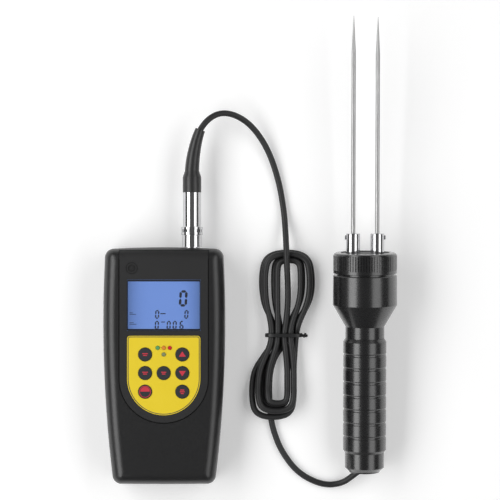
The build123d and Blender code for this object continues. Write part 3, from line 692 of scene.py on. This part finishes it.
def addBorder(settings):
    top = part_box("keypad_overlay")[1].z
    film = bmesh.new()
    film.from_mesh(nodes["keypad_overlay"].data)
    bmesh.ops.remove_doubles(film, verts=film.verts, dist=1e-6)
    below = [vert for vert in film.verts if vert.co.z < top - settings["topBand"]]
    bmesh.ops.delete(film, geom=below, context="VERTS")
    outline = outerLoop(film)
    film.free()
    shape = bmesh.new()
    face = shape.faces.new([shape.verts.new((place.x, place.y, top)) for place in outline])
    face.normal_update()
    if face.normal.z < 0:
        face.normal_flip()
    for step in ("inset", "width"):
        made = bmesh.ops.inset_region(
            shape, faces=[face], thickness=settings[step], use_boundary=True, use_even_offset=True,
        )["faces"]
        if step == "inset":
            bmesh.ops.delete(shape, geom=made, context="FACES")
    bmesh.ops.delete(shape, geom=[face], context="FACES")
    bmesh.ops.solidify(shape, geom=shape.faces[:], thickness=-settings["rise"])
    bmesh.ops.recalc_face_normals(shape, faces=shape.faces)
    newPiece("filmBorder", shape, "navy_ink", "meter")


addBorder(borderSettings)
print("film border printed")

# Painted shade: thin near-black rings laid in the two ring grooves of the sounder port, standing for the
# shade in those grooves
portShadeSettings = {"shadeRings": ((0.00372, 0.00022), (0.00195, 0.0002)), "steps": 48, "sides": 8}


def addPortShadeRings(settings):
    low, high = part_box("sounder_plug")
    middle = Vector(((low.x + high.x) / 2, (low.y + high.y) / 2, high.z - 0.00002))
    shape = bmesh.new()
    for radius, thick in settings["shadeRings"]:
        start = bmesh.ops.create_circle(shape, segments=settings["sides"], radius=thick)["verts"]
        bmesh.ops.rotate(shape, verts=start, cent=(0, 0, 0), matrix=Matrix.Rotation(math.pi / 2, 3, "X"))
        bmesh.ops.translate(shape, verts=start, vec=middle + Vector((radius, 0, 0)))
        edges = list({edge for vert in start for edge in vert.link_edges})
        bmesh.ops.spin(
            shape, geom=edges, cent=middle, axis=(0, 0, 1), angle=math.tau, steps=settings["steps"],
            use_merge=True,
        )
    bmesh.ops.recalc_face_normals(shape, faces=shape.faces)
    # the rings are painted shade in the grooves, not rubber parts of the meter
    newPiece("portShadeRings", shape, "groove_shade", "meter")


addPortShadeRings(portShadeSettings)
print("port rings fitted")

# Twist tie round the waist of the hank
tieSettings = {
    "width": 0.0026, "thickness": 0.0008, "steps": 6, "sides": 2, "turns": 2.5,
    "endThickness": 0.0012, "endPoints": 12, "endStart": (0.0942, 0.0068),
    "endStep": (0.0004, 0.00012), "endSway": 0.0006,
}
tieY = 0.0201
tieLoop = (
    (0.0695, 0.0034), (0.0704, 0.0008), (0.0760, 0.0006), (0.0880, 0.0006), (0.0935, 0.0009),
    (0.0948, 0.0040), (0.0944, 0.0090), (0.0915, 0.0107), (0.0820, 0.0110), (0.0730, 0.0107),
    (0.0698, 0.0080),
)


def stripCurve(name, path, tilts, thickness, cyclic, settings):
    curve = bpy.data.curves.new(name, "CURVE")
    curve.dimensions = "3D"
    curve.resolution_u = settings["steps"]
    curve.extrude = (settings["width"] - thickness) / 2
    curve.bevel_depth = thickness / 2
    curve.bevel_resolution = settings["sides"]
    curve.twist_mode = "Z_UP"
    spline = curve.splines.new("NURBS")
    spline.points.add(len(path) - 1)
    for control, place, tilt in zip(spline.points, path, tilts):
        control.co = (*place, 1)
        control.tilt = tilt
    spline.order_u = 3
    spline.use_cyclic_u = cyclic
    spline.use_endpoint_u = not cyclic
    return curve


def meshFromCurve(curve):
    holder = bpy.data.objects.new(curve.name, curve)
    scene.collection.objects.link(holder)
    bpy.context.view_layer.update()
    graph = bpy.context.evaluated_depsgraph_get()
    mesh = bpy.data.meshes.new_from_object(holder.evaluated_get(graph))
    bpy.data.objects.remove(holder)
    return mesh


def addTie(settings):
    count = settings["endPoints"]
    startX, startZ = settings["endStart"]
    stepX, stepZ = settings["endStep"]
    loop = [(x, tieY, z) for x, z in tieLoop]
    ends = [
        (startX + stepX * i, tieY + settings["endSway"] * math.sin(i), startZ + stepZ * i)
        for i in range(count)
    ]
    loopTilts = [math.pi / 2] * len(loop)
    endTilts = [settings["turns"] * math.tau * i / (count - 1) for i in range(count)]
    curves = (
        stripCurve("tieLoop", loop, loopTilts, settings["thickness"], True, settings),
        stripCurve("tieEnds", ends, endTilts, settings["endThickness"], False, settings),
    )
    shape = bmesh.new()
    for curve in curves:
        shape.from_mesh(meshFromCurve(curve))
    bmesh.ops.remove_doubles(shape, verts=shape.verts, dist=1e-7)
    bmesh.ops.recalc_face_normals(shape, faces=shape.faces)
    tie = newPiece("twistTie", shape, "tie_plastic", "probe_and_lead")
    for face in tie.data.polygons:
        face.use_smooth = True
    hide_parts("twist_tie")


addTie(tieSettings)
print("tie wound")
